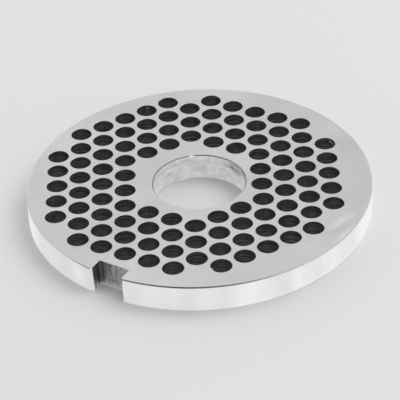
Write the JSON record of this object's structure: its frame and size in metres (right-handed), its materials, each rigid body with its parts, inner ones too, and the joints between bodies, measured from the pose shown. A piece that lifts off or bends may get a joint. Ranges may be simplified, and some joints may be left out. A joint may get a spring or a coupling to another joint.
{
  "type": "meat grinder plate",
  "caption": "Round steel mincing plate with a field of drilled holes, a plain centre bore and one key slot in its rim.",
  "frame": {"origin": "on the axis of the centre bore, at the lower face", "axes": "+Z along the bore axis, from the lower face to the upper face that the knife runs on; the key slot opens towards -Y; the drilled field lies 1.7 mm towards -X of the bore axis"},
  "size_m": [0.082, 0.0818, 0.0066],
  "materials": {
    "ground_steel": "surface-ground faces, fine-turned rim, bores left dark from hardening"
  },
  "bodies": {
    "root": {"grinder_plate": "ground_steel"}
  },
  "joints": []
}
